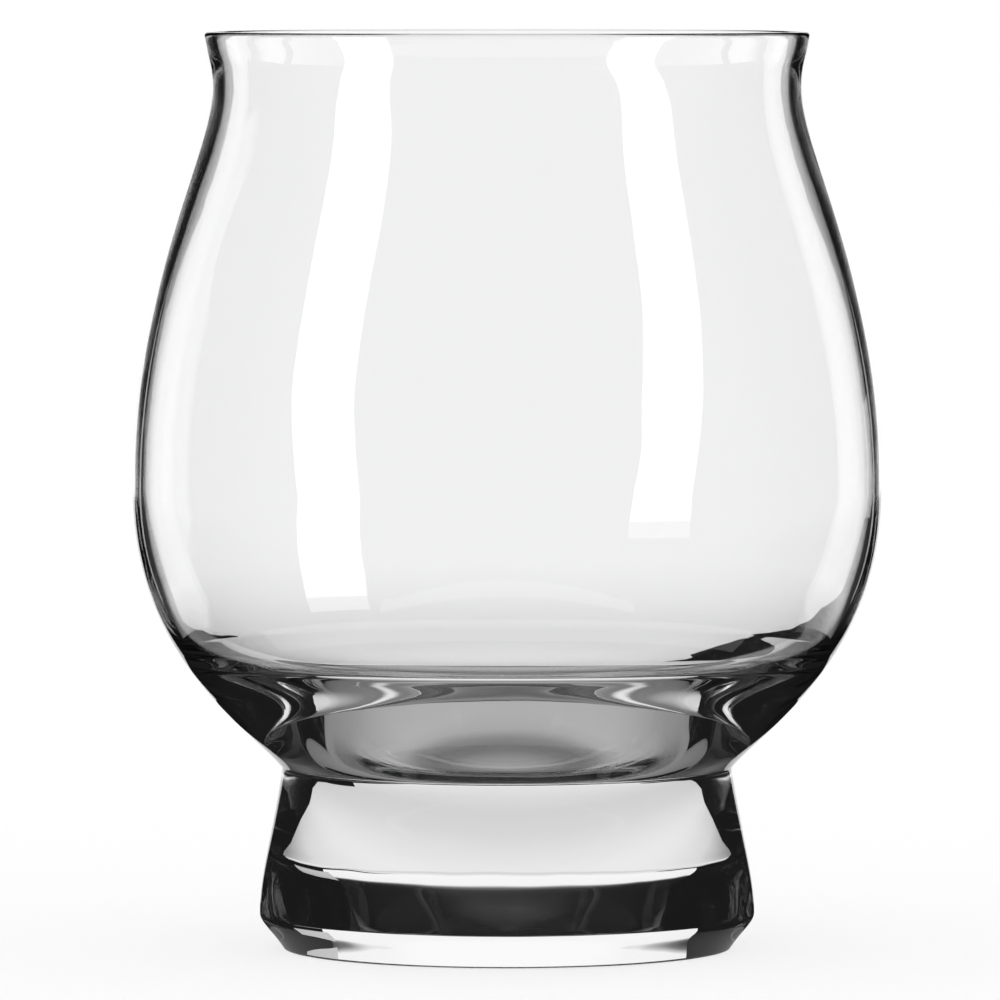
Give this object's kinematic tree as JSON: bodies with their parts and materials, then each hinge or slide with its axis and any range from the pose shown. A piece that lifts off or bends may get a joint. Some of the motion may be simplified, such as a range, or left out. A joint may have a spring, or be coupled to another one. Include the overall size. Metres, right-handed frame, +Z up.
{
  "type": "whisky nosing glass",
  "caption": "Clear footed nosing glass: a wide round bowl that draws in to a waist under a flared lip, on a short solid foot.",
  "frame": {"origin": "centre of the ring that the foot rests on, in the plane of the table", "axes": "+Z up along the axis of the glass, through the middle of the mouth; the glass is round about it"},
  "size_m": [0.083, 0.083, 0.1016],
  "materials": {
    "clear_glass": "polished, clear and colourless"
  },
  "bodies": {
    "root": {"glass": "clear_glass"}
  },
  "joints": []
}
